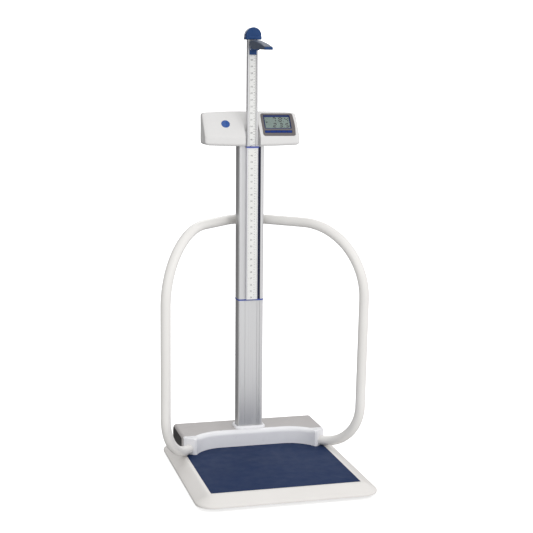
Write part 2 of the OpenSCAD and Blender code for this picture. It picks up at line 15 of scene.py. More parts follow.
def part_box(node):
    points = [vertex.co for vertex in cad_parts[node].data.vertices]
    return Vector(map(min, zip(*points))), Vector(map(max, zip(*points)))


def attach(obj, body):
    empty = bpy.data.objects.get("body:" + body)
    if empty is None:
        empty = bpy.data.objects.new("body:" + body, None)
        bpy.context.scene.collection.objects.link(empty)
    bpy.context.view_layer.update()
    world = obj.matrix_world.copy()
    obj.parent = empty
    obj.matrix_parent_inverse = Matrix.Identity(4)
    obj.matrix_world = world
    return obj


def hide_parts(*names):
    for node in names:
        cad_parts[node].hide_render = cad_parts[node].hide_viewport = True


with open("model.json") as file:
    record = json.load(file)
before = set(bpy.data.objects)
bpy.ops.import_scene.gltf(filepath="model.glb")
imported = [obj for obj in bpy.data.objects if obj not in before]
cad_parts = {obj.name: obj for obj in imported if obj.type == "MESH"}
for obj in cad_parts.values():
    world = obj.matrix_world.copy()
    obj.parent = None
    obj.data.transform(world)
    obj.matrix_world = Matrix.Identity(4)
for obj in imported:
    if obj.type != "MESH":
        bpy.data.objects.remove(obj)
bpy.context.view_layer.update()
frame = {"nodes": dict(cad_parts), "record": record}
scene = bpy.context.scene
MM = 0.001


# ---- camera --------------------------------------------------------------------

def make_camera():
    camera = bpy.data.objects.new("camera", bpy.data.cameras.new("camera"))
    scene.collection.objects.link(camera)
    camera.data.lens = 81.05
    camera.data.sensor_width = 36.0
    camera.data.clip_end = 60.0
    yaw, pitch, roll = math.radians(14.86), math.radians(8.85), math.radians(0.45)
    ahead = Vector((math.sin(yaw) * math.cos(pitch), math.cos(yaw) * math.cos(pitch), -math.sin(pitch)))
    right = Vector((math.cos(yaw), -math.sin(yaw), 0.0))
    up = right.cross(ahead)
    side = right * math.cos(roll) + up * math.sin(roll)
    top = -side.cross(-ahead)
    turn = Matrix((side, top, -ahead)).transposed().to_4x4()
    camera.matrix_world = Matrix.Translation((-1.141, -4.300, 1.499)) @ turn
    scene.camera = camera


make_camera()


# ---- outlines and shells ---------------------------------------------------------
# A shell is a pair: points in millimetres, and faces that index them.

def arc(centre, radius, start, end, steps):
    """Points along an arc in the plane, angles in degrees."""
    return [
        (centre[0] + radius * math.cos(math.radians(start + (end - start) * i / steps)),
         centre[1] + radius * math.sin(math.radians(start + (end - start) * i / steps)))
        for i in range(steps + 1)
    ]


def rounded_rect(x0, x1, y0, y1, radius, steps=8):
    r = radius
    corners = [((x1 - r, y1 - r), 0), ((x0 + r, y1 - r), 90), ((x0 + r, y0 + r), 180),
               ((x1 - r, y0 + r), 270)]
    return [p for centre, start in corners for p in arc(centre, r, start, start + 90, steps)]


def centred_rect(width, depth, radius, centre_y=0.0, steps=8):
    return rounded_rect(-width / 2, width / 2, centre_y - depth / 2, centre_y + depth / 2, radius, steps)


def inset(outline, distance):
    """The outline moved inwards by mitred offsets; it runs anticlockwise."""
    moved = []
    for i, point in enumerate(outline):
        here, before, after = Vector(point), Vector(outline[i - 1]), Vector(outline[(i + 1) % len(outline)])
        first, second = (here - before), (after - here)
        if first.length < 1e-6 or second.length < 1e-6:
            first = second = after - before
        a, b = first.normalized(), second.normalized()
        normal = Vector((-a.y - b.y, a.x + b.x)).normalized()
        spread = max(0.35, normal.dot(Vector((-a.y, a.x))))
        moved.append(tuple(here + normal * distance / spread))
    return moved


def ring_at(outline, z):
    return [(x, y, z) for x, y in outline]


def loft(rings, closed=False):
    """A shell through rings of equally many points, capped at both ends unless closed on itself."""
    count = len(rings[0])
    points = [p for ring in rings for p in ring]
    pairs = [(k, k + 1) for k in range(len(rings) - 1)]
    if closed:
        pairs.append((len(rings) - 1, 0))
    faces = [
        [a * count + i, a * count + (i + 1) % count, b * count + (i + 1) % count, b * count + i]
        for a, b in pairs for i in range(count)
    ]
    if not closed:
        faces.append(list(range(count)))
        faces.append([(len(rings) - 1) * count + i for i in range(count)])
    return points, faces


def pillow(outline, z0, z1, top_edge, low_edge=0.0, steps=4):
    """A prism whose top and bottom edges are rounded."""
    rings = []
    for i in range(steps + 1) if low_edge else ():
        a = math.radians(90 * i / steps)
        edge = inset(outline, low_edge * (1 - math.sin(a)))
        rings.append(ring_at(edge, z0 + low_edge * (1 - math.cos(a))))
    if not low_edge:
        rings.append(ring_at(outline, z0))
    for i in range(steps + 1):
        a = math.radians(90 * i / steps)
        edge = inset(outline, top_edge * (1 - math.cos(a)))
        rings.append(ring_at(edge, z1 - top_edge * (1 - math.sin(a))))
    return loft(rings)


def slab(low, high):
    """A plain box, used only for printed marks and as a cutter."""
    (x0, y0, z0), (x1, y1, z1) = low, high
    return loft([[(x0, y0, z), (x1, y0, z), (x1, y1, z), (x0, y1, z)] for z in (z0, z1)])


def sweep(path, radius, sides=32):
    """A round bar along a path of (point, direction), without twist."""
    rings = []
    normal = path[0][1].orthogonal().normalized()
    for i, (point, along) in enumerate(path):
        if i:
            normal = path[i - 1][1].rotation_difference(along) @ normal
        other = along.cross(normal)
        rings.append([
            tuple(point + radius * (normal * math.cos(2 * math.pi * k / sides)
                                    + other * math.sin(2 * math.pi * k / sides)))
            for k in range(sides)
        ])
    return loft(rings)


def moved(shell, matrix):
    points, faces = shell
    return [tuple(matrix @ Vector(p)) for p in points], faces


def axes(origin, x_axis, y_axis, z_axis):
    """The matrix that takes a shape's own axes to these directions."""
    turn = Matrix((x_axis, y_axis, z_axis)).transposed().to_4x4()
    return Matrix.Translation(origin) @ turn


# ---- objects -----------------------------------------------------------------------

def build(name, *shells):
    """One mesh object from shells, its faces turned outwards."""
    points, faces = [], []
    for shell_points, shell_faces in shells:
        start = len(points)
        points += [tuple(c * MM for c in p) for p in shell_points]
        faces += [[start + i for i in face] for face in shell_faces]
    mesh = bpy.data.meshes.new(name)
    mesh.from_pydata(points, [], faces)
    work = bmesh.new()
    work.from_mesh(mesh)
    bmesh.ops.remove_doubles(work, verts=work.verts, dist=1e-6)
    bmesh.ops.dissolve_degenerate(work, edges=work.edges, dist=1e-6)
    bmesh.ops.recalc_face_normals(work, faces=work.faces)
    work.to_mesh(mesh)
    work.free()
    obj = bpy.data.objects.new(name, mesh)
    scene.collection.objects.link(obj)
    return obj


def apply_modifiers(obj):
    graph = bpy.context.evaluated_depsgraph_get()
    mesh = bpy.data.meshes.new_from_object(obj.evaluated_get(graph), depsgraph=graph)
    obj.modifiers.clear()
    obj.data = mesh


def cut(obj, *cutters):
    """Takes the cutters, which are objects, out of obj."""
    for cutter in cutters:
        step = obj.modifiers.new("cut", "BOOLEAN")
        step.operation = "DIFFERENCE"
        step.solver = "EXACT"
        step.object = cutter
        apply_modifiers(obj)
        bpy.data.objects.remove(cutter)


def soften(obj, width, angle=40.0, segments=3, weld=False):
    """Rounds the sharp edges by width millimetres and keeps flat faces flat."""
    if weld:
        obj.modifiers.new("weld", "WELD").merge_threshold = 1e-5
    bevel = obj.modifiers.new("edges", "BEVEL")
    bevel.width = width * MM
    bevel.segments = segments
    bevel.limit_method = "ANGLE"
    bevel.angle_limit = math.radians(angle)
    bevel.use_clamp_overlap = True
    normals = obj.modifiers.new("normals", "WEIGHTED_NORMAL")
    normals.keep_sharp = False
    normals.weight = 80


def smooth(obj, angle=40.0):
    obj.data.polygons.foreach_set("use_smooth", [True] * len(obj.data.polygons))
    obj.data.set_sharp_from_angle(angle=math.radians(angle))


def finish_piece(obj, slot, body, *nodes, angle=40.0):
    """Gives a piece its material and its body, and hides the CAD nodes it stands for."""
    obj.data.materials.clear()
    obj.data.materials.append(LOOKS[slot])
    smooth(obj, angle)
    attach(obj, body)
    if nodes:
        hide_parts(*nodes)
    return obj


# ---- materials -----------------------------------------------------------------------

class Look:
    """A material whose colour, roughness and relief come from noise in the object's own space."""

    def __init__(self, name, colour, roughness, metallic=0.0, coat=0.0, specular=0.5):
        self.material = bpy.data.materials.new(name)
        self.material.use_nodes = True
        self.nodes = self.material.node_tree.nodes
        self.links = self.material.node_tree.links
        self.shader = self.nodes["Principled BSDF"]
        self.colour = (*colour, 1.0)
        self.shader.inputs["Base Color"].default_value = self.colour
        self.shader.inputs["Roughness"].default_value = roughness
        self.shader.inputs["Metallic"].default_value = metallic
        self.shader.inputs["Coat Weight"].default_value = coat
        self.shader.inputs["Specular IOR Level"].default_value = specular
        self.place = self.nodes.new("ShaderNodeTexCoord")
        self.last_colour = None
        self.last_normal = None

    def noise(self, size, stretch=(1.0, 1.0, 1.0), detail=3.0):
        """Noise with features about size millimetres across, drawn out along the axes by stretch."""
        mapping = self.nodes.new("ShaderNodeMapping")
        mapping.inputs["Scale"].default_value = [1.0 / (size * MM * s) for s in stretch]
        self.links.new(self.place.outputs["Object"], mapping.inputs["Vector"])
        texture = self.nodes.new("ShaderNodeTexNoise")
        texture.inputs["Scale"].default_value = 1.0
        texture.inputs["Detail"].default_value = detail
        self.links.new(mapping.outputs["Vector"], texture.inputs["Vector"])
        return texture.outputs["Fac"]

    def ranged(self, value, low, high, to_low, to_high):
        step = self.nodes.new("ShaderNodeMapRange")
        for name, number in (("From Min", low), ("From Max", high), ("To Min", to_low), ("To Max", to_high)):
            step.inputs[name].default_value = number
        self.links.new(value, step.inputs["Value"])
        return step.outputs["Result"]

    def mix(self, factor, colour):
        """Blends colour over what the surface has so far."""
        step = self.nodes.new("ShaderNodeMix")
        step.data_type = "RGBA"
        step.inputs["A"].default_value = self.colour
        step.inputs["B"].default_value = (*colour, 1.0)
        if self.last_colour is not None:
            self.links.new(self.last_colour, step.inputs["A"])
        self.links.new(factor, step.inputs["Factor"])
        self.last_colour = step.outputs["Result"]
        self.links.new(self.last_colour, self.shader.inputs["Base Color"])
        return self

    def clouds(self, size, colour, amount=0.6, stretch=(1.0, 1.0, 1.0), low=0.35, high=0.7):
        """Soft patches of another colour."""
        return self.mix(self.ranged(self.noise(size, stretch), low, high, 0.0, amount), colour)

    def uneven(self, size, low, high, stretch=(1.0, 1.0, 1.0)):
        """Roughness that varies between low and high."""
        value = self.ranged(self.noise(size, stretch), 0.3, 0.7, low, high)
        self.links.new(value, self.shader.inputs["Roughness"])
        return self

    def relief(self, size, depth, stretch=(1.0, 1.0, 1.0), cells=False):
        """Fine bumps of about depth millimetres."""
        height = self.cells(size) if cells else self.noise(size, stretch, 2.0)
        step = self.nodes.new("ShaderNodeBump")
        step.inputs["Distance"].default_value = depth * MM
        step.inputs["Strength"].default_value = 1.0
        self.links.new(height, step.inputs["Height"])
        if self.last_normal is not None:
            self.links.new(self.last_normal, step.inputs["Normal"])
        self.last_normal = step.outputs["Normal"]
        self.links.new(self.last_normal, self.shader.inputs["Normal"])
        return self

    def cells(self, size):
        mapping = self.nodes.new("ShaderNodeMapping")
        mapping.inputs["Scale"].default_value = [1.0 / (size * MM)] * 3
        self.links.new(self.place.outputs["Object"], mapping.inputs["Vector"])
        texture = self.nodes.new("ShaderNodeTexVoronoi")
        texture.inputs["Scale"].default_value = 1.0
        texture.feature = "SMOOTH_F1"
        self.links.new(mapping.outputs["Vector"], texture.inputs["Vector"])
        return texture.outputs["Distance"]

    def worn_edges(self, radius, colour, amount):
        """Edges that differ from the faces: where a rounded normal leaves the true one."""
        rounded = self.nodes.new("ShaderNodeBevel")
        rounded.samples = 4
        rounded.inputs["Radius"].default_value = radius * MM
        true = self.nodes.new("ShaderNodeNewGeometry")
        dot = self.nodes.new("ShaderNodeVectorMath")
        dot.operation = "DOT_PRODUCT"
        self.links.new(rounded.outputs["Normal"], dot.inputs[0])
        self.links.new(true.outputs["Normal"], dot.inputs[1])
        edge = self.ranged(dot.outputs["Value"], 0.98, 0.80, 0.0, amount)
        return self.mix(edge, colour)


def srgb(r, g, b):
    """Colour as a shader takes it, from the usual 0 to 255."""
    return tuple(((c / 255 + 0.055) / 1.055) ** 2.4 if c > 10 else c / 255 / 12.92 for c in (r, g, b))


def plastic(name, colour, shade, roughness, grain=0.9, depth=0.02, coat=0.0, specular=0.5):
    """A moulded plastic: fine grain, slightly uneven gloss and colour, edges a little rubbed."""
    look = Look(name, colour, roughness, coat=coat, specular=specular)
    look.clouds(120, shade, 0.5)
    look.uneven(35, roughness - 0.06, roughness + 0.08)
    look.worn_edges(1.2, [min(1.0, c * 1.25 + 0.01) for c in colour], 0.5)
    return look.relief(grain, depth).material


def metal(name, colour, shade, roughness, stretch):
    """A brushed or drawn metal: streaks along the stretched axis."""
    look = Look(name, colour, roughness, metallic=1.0)
    look.clouds(2.2, shade, 0.55, stretch)
    look.uneven(1.1, roughness - 0.08, roughness + 0.10, stretch)
    return look.relief(0.35, 0.004, stretch).material


def powder_coat(name, colour, shade, roughness):
    look = Look(name, colour, roughness, coat=0.15)
    look.clouds(180, shade, 0.5)
    look.uneven(60, roughness - 0.05, roughness + 0.07)
    look.relief(1.6, 0.03)
    return look.relief(0.5, 0.008).material


def make_mat():
    look = Look("mat", srgb(34, 51, 86), 0.58, specular=0.04)
    look.clouds(150, srgb(38, 55, 91), 0.5)
    look.clouds(8, srgb(30, 46, 80), 0.35)
    look.uneven(45, 0.46, 0.58)
    return look.relief(1.4, 0.05, cells=True).material


def make_anodised():
    look = Look("anodised_aluminium", srgb(216, 216, 217), 0.34, metallic=0.72)
    look.clouds(3.0, srgb(204, 204, 205), 0.6, (1.0, 1.0, 260.0))
    look.uneven(1.4, 0.28, 0.44, (1.0, 1.0, 300.0))
    look.worn_edges(0.6, srgb(238, 238, 238), 0.5)
    return look.relief(0.5, 0.006, (1.0, 1.0, 200.0)).material


def make_glass():
    look = Look("lcd_glass", srgb(225, 232, 236), 0.06, specular=0.2)
    look.shader.inputs["Alpha"].default_value = 0.05
    look.uneven(30, 0.04, 0.10)
    look.clouds(60, srgb(212, 222, 228), 0.4)
    return look.relief(20.0, 0.01).material


def make_lcd_film():
    look = Look("lcd_film", srgb(118, 137, 129), 0.46, coat=0.05)
    look.clouds(70, srgb(106, 125, 117), 0.7)
    look.uneven(25, 0.36, 0.48)
    return look.relief(0.35, 0.004).material


def make_label():
    look = Look("rule_label", srgb(236, 236, 234), 0.42)
    look.clouds(60, srgb(228, 228, 225), 0.6, (1.0, 1.0, 3.0))
    look.uneven(20, 0.36, 0.48)
    return look.relief(0.8, 0.006).material


def make_board():
    look = Look("circuit_board", srgb(28, 92, 52), 0.35, coat=0.3)
    look.clouds(3.5, srgb(18, 66, 38), 0.9, low=0.49, high=0.51)
    look.uneven(8, 0.28, 0.42)
    return look.relief(2.0, 0.03).material


def make_ink():
    look = Look("print_ink", srgb(62, 62, 66), 0.5)
    look.clouds(6, srgb(84, 84, 88), 0.6)
    look.uneven(5, 0.42, 0.58)
    return look.relief(0.4, 0.003).material


def make_digits():
    look = Look("lcd_digits", srgb(10, 13, 15), 0.45)
    look.clouds(10, srgb(18, 22, 24), 0.6)
    look.uneven(6, 0.30, 0.42)
    return look.relief(0.4, 0.003).material


LOOKS = {
    "tray_plastic": plastic("tray_plastic", srgb(229, 226, 223), srgb(222, 219, 215), 0.42, 1.1, 0.03),
    "mat": make_mat(),
    "frame_steel": powder_coat("frame_steel", srgb(70, 70, 73), srgb(60, 60, 62), 0.45),
    "load_cell_alloy": metal("load_cell_alloy", srgb(190, 190, 194), srgb(170, 170, 174), 0.35, (1, 40, 1)),
    "circuit_board": make_board(),
    "bright_steel": metal("bright_steel", srgb(188, 188, 190), srgb(165, 165, 168), 0.30, (12, 1, 1)),
    "housing_grey": plastic("housing_grey", srgb(182, 178, 177), srgb(175, 171, 170), 0.50, 1.0, 0.03),
    "housing_white": plastic("housing_white", srgb(240, 240, 243), srgb(233, 233, 237),
                             0.32, 1.6, 0.015, 0.2),
    "cap_dark": plastic("cap_dark", srgb(56, 55, 56), srgb(48, 47, 48), 0.56, 1.0, 0.03),
    "anodised_aluminium": make_anodised(),
    "blue_ring": plastic("blue_ring", srgb(70, 88, 168), srgb(60, 78, 156), 0.40),
    "navy_strip": plastic("navy_strip", srgb(28, 32, 58), srgb(22, 26, 48), 0.42, specular=0.2),
    "rule_cover": metal("rule_cover", srgb(226, 226, 230), srgb(208, 208, 212), 0.36, (1, 1, 200)),
    "rule_label": make_label(),
    "cable_black": plastic("cable_black", srgb(28, 28, 30), srgb(22, 22, 24), 0.55),
    "head_plastic": plastic("head_plastic", srgb(225, 224, 223), srgb(218, 217, 216), 0.40, 1.0, 0.02),
    "bezel_grey": plastic("bezel_grey", srgb(108, 103, 103), srgb(100, 95, 95),
                          0.42, 0.9, 0.012, specular=0.3),
    "lcd_glass": make_glass(),
    "lcd_film": make_lcd_film(),
    "battery_wrap": plastic("battery_wrap", srgb(52, 96, 70), srgb(44, 84, 60), 0.35),
    "badge_blue": plastic("badge_blue", srgb(34, 84, 160), srgb(28, 70, 140), 0.25, 1.4, 0.006, 0.4),
    "rail_coat": powder_coat("rail_coat", srgb(235, 233, 230), srgb(228, 226, 222), 0.36),
    "rail_clamp": powder_coat("rail_clamp", srgb(205, 204, 200), srgb(195, 194, 190), 0.40),
    "foot_rubber": plastic("foot_rubber", srgb(36, 36, 37), srgb(30, 30, 31), 0.62, 1.2, 0.05),
    "blue_plastic": plastic("blue_plastic", srgb(16, 62, 116), srgb(12, 52, 100),
                            0.28, 1.8, 0.012, 0.12, 0.25),
    "arm_grey": plastic("arm_grey", srgb(76, 86, 105), srgb(68, 77, 95), 0.48, 0.9, 0.02, 0.0, 0.3),
    "key_blue": plastic("key_blue", srgb(16, 52, 126), srgb(12, 44, 110), 0.34, 0.8, 0.01, 0.0, 0.2),
}
INK = make_ink()
DIGITS = make_digits()
FRAME_BLUE = plastic("lcd_frame_blue", srgb(20, 44, 104), srgb(16, 36, 90), 0.42, specular=0.2)


# ---- platform ----------------------------------------------------------------------

TRAY_W, TRAY_D, TRAY_R = 678.0, 760.0, 65.0
DECK_Z, RAMP_Z, SKIRT_Z, RAMP_W = 50.0, 23.5, 14.0, 46.0
MAT_X, MAT_FRONT, MAT_BACK, MAT_T = 279.4, -314.0, 220.0, 4.0
MAT_GAP = 0.6


def make_tray():
    corner_steps = 14
    slope = (DECK_Z - RAMP_Z) / RAMP_W

    def rim(inwards, z):
        return ring_at(centred_rect(TRAY_W - 2 * inwards, TRAY_D - 2 * inwards, TRAY_R - inwards,
                                    steps=corner_steps), z)

    def recess(outwards, z):
        outline = rounded_rect(-MAT_X - outwards, MAT_X + outwards, MAT_FRONT - outwards,
                               MAT_BACK + outwards, 3.0 + outwards, corner_steps)
        return ring_at(outline, z)

    outside = [(2.6, SKIRT_Z), (0.9, SKIRT_Z + 0.5), (0.1, SKIRT_Z + 2.0), (0.0, RAMP_Z - 2.4),
               (0.5, RAMP_Z - 0.6), (1.6, RAMP_Z + 0.5), (3.4, RAMP_Z + 3.4 * slope)]
    ramp = [(d, RAMP_Z + d * slope) for d in (14.0, 28.0, RAMP_W - 5.0)]
    shoulder = [(RAMP_W - 1.5, DECK_Z - 1.35), (RAMP_W + 1.5, DECK_Z - 0.35), (RAMP_W + 4.5, DECK_Z)]
    rings = [rim(RAMP_W + 3.0, DECK_Z - 9.0), rim(RAMP_W - 6.0, DECK_Z - 12.0), rim(5.0, RAMP_Z - 5.0),
             rim(5.0, SKIRT_Z)]
    rings += [rim(d, z) for d, z in outside + ramp + shoulder]
    rings += [recess(MAT_GAP + 1.2, DECK_Z), recess(MAT_GAP + 0.3, DECK_Z - 0.3),
              recess(MAT_GAP, DECK_Z - 1.2), recess(MAT_GAP, DECK_Z - MAT_T)]
    finish_piece(build("tray", loft(rings)), "tray_plastic", "base", "platform_tray")


def make_platform_mat():
    outline = rounded_rect(-MAT_X, MAT_X, MAT_FRONT, MAT_BACK, 3.0, 6)
    finish_piece(build("standing_mat", pillow(outline, DECK_Z - MAT_T, DECK_Z + 0.2, 1.1)),
                 "mat", "base", "platform_mat")


make_tray()
make_platform_mat()


# ---- rear housing -----------------------------------------------------------------

HOUSING_Z, HOUSING_X, HOUSING_BACK = 113.6, 290.0, 376.0
FASCIA_Y, BAY_FLAT, BAY_R = 201.0, 125.0, 131.0
BAND_W, EAR_FRONT, EAR_X, EAR_BACK = 24.0, 131.0, 250.0, 178.0
EAR_OUT = (285.4, 161.2)
EAR_SEAM = (244.0, 256.0)
CAP_T, CAP_EDGE = 4.0, 10.0
BACK_R = 22.0
END_R = 12.0
RAMP_BACK = TRAY_D / 2 - RAMP_W


def bay_point(radius, angle):
    a = math.radians(angle)
    return BAY_FLAT + radius * math.cos(a), FASCIA_Y - BAY_R + radius * math.sin(a)


def lerp(a, b, t):
    return a + (b - a) * t


def fascia_half():
    """Front point, back point and top radius at stations from the middle to the right end."""
    band_r = BAY_R + BAND_W
    band_angle = math.degrees(math.asin((EAR_BACK - FASCIA_Y + BAY_R) / band_r))
    ear_angle = math.degrees(math.asin((EAR_FRONT - FASCIA_Y + BAY_R) / BAY_R))
    band_x = bay_point(band_r, band_angle)[0]
    stations = []
    for i in range(6):
        x = BAY_FLAT * i / 6
        stations.append(((x, FASCIA_Y), (x, FASCIA_Y + BAND_W), 16.0))
    for i in range(20):
        angle = lerp(90.0, band_angle, i / 20)
        stations.append((bay_point(BAY_R, angle), bay_point(band_r, angle), 16.0))
    for i in range(10):
        t = i / 10
        stations.append((bay_point(BAY_R, lerp(band_angle, ear_angle, t)),
                         (lerp(band_x, EAR_SEAM[0], t), EAR_BACK), lerp(16.0, 9.0, t)))
    corner_x = bay_point(BAY_R, ear_angle)[0]
    for i in range(4):
        t = i / 4
        stations.append(((lerp(corner_x, EAR_X, t), EAR_FRONT), (lerp(*EAR_SEAM, t), EAR_BACK),
                         lerp(9.0, 4.0, t)))
    for i in range(13):
        t = math.sin(math.pi / 2 * i / 12)
        stations.append(((lerp(EAR_X, EAR_OUT[0], t), lerp(EAR_FRONT, EAR_OUT[1], t)),
                         (lerp(EAR_SEAM[1], EAR_OUT[0], t), EAR_BACK), 4.0))
    return stations


def arch_top(x):
    """Height of the housing's top, which rounds down to its two ends."""
    over = min(END_R, max(0.0, abs(x) - (HOUSING_X - END_R)))
    return HOUSING_Z - END_R + math.sqrt(max(0.0, END_R ** 2 - over ** 2))


def make_fascia():
    half = fascia_half()
    mirrored = [((-f[0], f[1]), (-b[0], b[1]), r) for f, b, r in reversed(half[1:])]
    rings = []
    for (fx, fy), (bx, by), radius in mirrored + half:
        width = math.hypot(bx - fx, by - fy)
        section = [(0.0, DECK_Z)]
        for i in range(8):
            a = math.radians(90 * i / 7)
            section.append((radius * (1 - math.cos(a)) / width, radius * (math.sin(a) - 1)))
        section += [(1.0 - 0.8 / width, 0.0), (1.0, -0.7), (1.0, None)]
        ring = []
        for k, (t, drop) in enumerate(section):
            x, y = lerp(fx, bx, t), lerp(fy, by, t)
            bottom = k == 0 or drop is None
            ring.append((x, y, DECK_Z + 0.1 if bottom else arch_top(x) + drop))
        rings.append(ring)
    obj = build("fascia", loft(rings))
    soften(obj, 2.2, 42.0)
    finish_piece(obj, "housing_white", "base", "front_fascia")


def side_profile(x, front_y, edge=0.0):
    """The housing's outline in Y and Z at x, or that outline moved in by edge at the top and back."""
    top, back, corner = arch_top(x) - edge, HOUSING_BACK - edge, BACK_R - edge
    foot_z = DECK_Z - (back - RAMP_BACK) * (DECK_Z - RAMP_Z) / RAMP_W + 0.3
    front = [(front_y + 0.5, DECK_Z), (front_y + 0.5, top - 1.3), (front_y + 0.8, top - 0.5),
             (front_y + 1.6, top)]
    shoulder = arc((back - corner, top - corner), corner, 90, 0, 10)
    return [(x, y, z) for y, z in front + shoulder + [(back, foot_z), (RAMP_BACK, DECK_Z + 0.3)]]


def make_rear_cover():
    half = [s[1] for s in fascia_half()]
    half += [(lerp(EAR_OUT[0], HOUSING_X, math.sin(math.pi / 2 * i / 8)), EAR_BACK) for i in range(1, 9)]
    front = [(-x, y) for x, y in reversed(half[1:])] + half
    obj = build("rear_cover_shell", loft([side_profile(x, front_y) for x, front_y in front]))
    soften(obj, 1.2, 50.0)
    finish_piece(obj, "housing_grey", "base", "rear_cover")


def make_end_cap(name, side):
    """The dark plate let into one end of the housing."""
    outline = [(y, z) for _, y, z in side_profile(0.0, EAR_BACK + CAP_EDGE, CAP_EDGE)][::-1]
    plate = pillow(outline, 0.0, CAP_T + 0.3, 0.8)
    at = axes((side * (HOUSING_X - CAP_T), 0, 0), Vector((0, 1, 0)), Vector((0, 0, 1)), Vector((side, 0, 0)))
    finish_piece(build(name, moved(plate, at)), "cap_dark", "base", name.replace("cover", "cap"))


def make_collar():
    low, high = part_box("lower_column")
    width, depth = (high.x - low.x) / MM, (high.y - low.y) / MM
    middle = (high.y + low.y) / 2 / MM
    profile = [(0.4, 0.0), (0.4, 5.0), (0.9, 7.6), (2.6, 9.2), (5.2, 9.9), (8.0, 9.3), (10.3, 7.2),
               (11.6, 4.2), (12.0, 1.0), (12.0, 0.0)]
    rings = [ring_at(centred_rect(width + 2 * out, depth + 2 * out, 9.0 + out, middle, 10), HOUSING_Z + z)
             for out, z in profile]
    finish_piece(build("collar", loft(rings, closed=True)), "housing_white", "base", "column_collar")


make_fascia()
make_rear_cover()
make_end_cap("end_cover_left", -1)
make_end_cap("end_cover_right", 1)
make_collar()


# ---- handrail ------------------------------------------------------------------------

RAIL_R, RAIL_Z = 19.05, 947.0
RAIL_CORNERS = [Vector(p) for p in ((232, 190, 71), (384, 12, 71), (387, -22, RAIL_Z), (0, 408, RAIL_Z),
                                    (-387, -22, RAIL_Z))]
RAIL_BENDS = (175.0, 272.0, 110.0)


def bend_path(a, b, c, bend, steps, last):
    """Points and directions along the bend at corner b."""
    along, onward = (b - a).normalized(), (c - b).normalized()
    total = along.angle(onward)
    inward = (onward - along * along.dot(onward)).normalized()
    start = b - along * bend * math.tan(total / 2)
    path = []
    for i in range(last + 1):
        q = total * i / steps
        point = start + along * bend * math.sin(q) + inward * bend * (1 - math.cos(q))
        path.append((point, (along * math.cos(q) + inward * math.sin(q)).normalized()))
    return path


def rail_path():
    corners = RAIL_CORNERS
    path = [(corners[0], (corners[1] - corners[0]).normalized())]
    path += bend_path(*corners[0:3], RAIL_BENDS[0], 30, 30)
    path += bend_path(*corners[1:4], RAIL_BENDS[1], 36, 36)
    path += bend_path(*corners[2:5], RAIL_BENDS[2], 36, 18)
    return path


def make_handrail():
    path = rail_path()
    flip = Matrix.Scale(-1, 4, (1, 0, 0))
    for name, node, matrix in (("rail_tube_right", "handrail_right", Matrix.Identity(4)),
                               ("rail_tube_left", "handrail_left", flip)):
        finish_piece(build(name, moved(sweep(path, RAIL_R, 40), matrix)), "rail_coat", "base", node)


make_handrail()


# ---- display head --------------------------------------------------------------------

TILT = math.radians(36.0)
FACE_FOOT = Vector((0.0, 214.0, 1280.0))
SLOPE = Vector((0.0, math.sin(TILT), math.cos(TILT)))
OUT = Vector((0.0, -math.cos(TILT), math.sin(TILT)))
FACE = axes(FACE_FOOT, Vector((1, 0, 0)), SLOPE, OUT)
HEAD_X, HEAD_TAPER, HEAD_END = 189.0, 80.0, 170.0
CHANNEL_X, CHANNEL_Y, CHANNEL_FLARE = 29.5, 251.5, 2.0
SPLIT_DEPTH = 46.0


def face_at(s, depth):
    p = FACE_FOOT + SLOPE * s - OUT * depth
    return p.y, p.z


def head_section(x):
    """The head's side outline at x: arcs round five circles, joined by straight runs."""
    far = abs(x)
    taper = min(1.0, max(0.0, (far - HEAD_TAPER) / (176.0 - HEAD_TAPER)))
    taper = taper * taper * (3 - 2 * taper) * 0.5 + taper * 0.5
    u = min(1.0, max(0.0, (far - HEAD_END) / (HEAD_X - HEAD_END)))
    end = 1 - math.sqrt(max(0.0, 1 - u * u))
    top = face_at(115 - 5 * taper - 8 * end, 10 + end)
    low = face_at(2 + taper + 5 * end, 8)
    back = 310 - taper - 7 * end
    under = 3 * taper + 5 * end
    thin = 6.5 * end
    circles = [(top, 10.0), (low, 8.0), ((226.0, 1256.5 + under), 12.0), ((back, 1256.5 + under), 12.0),
               ((back, 1361.5 - under / 2), 12.0)]
    circles = [(Vector(c), r - thin) for c, r in circles]
    normals = []
    for i, (c, r) in enumerate(circles):
        d, s = circles[(i + 1) % 5]
        along = d - c
        lean = math.asin((r - s) / along.length)
        normals.append(math.atan2(along.y, along.x) - math.pi / 2 + lean)
    points = []
    for i, (c, r) in enumerate(circles):
        start, stop = normals[i - 1], normals[i]
        while stop < start:
            stop += 2 * math.pi
        for k in range(9):
            a = start + (stop - start) * k / 8
            points.append((x, c.x + r * math.cos(a), c.y + r * math.sin(a)))
    return points


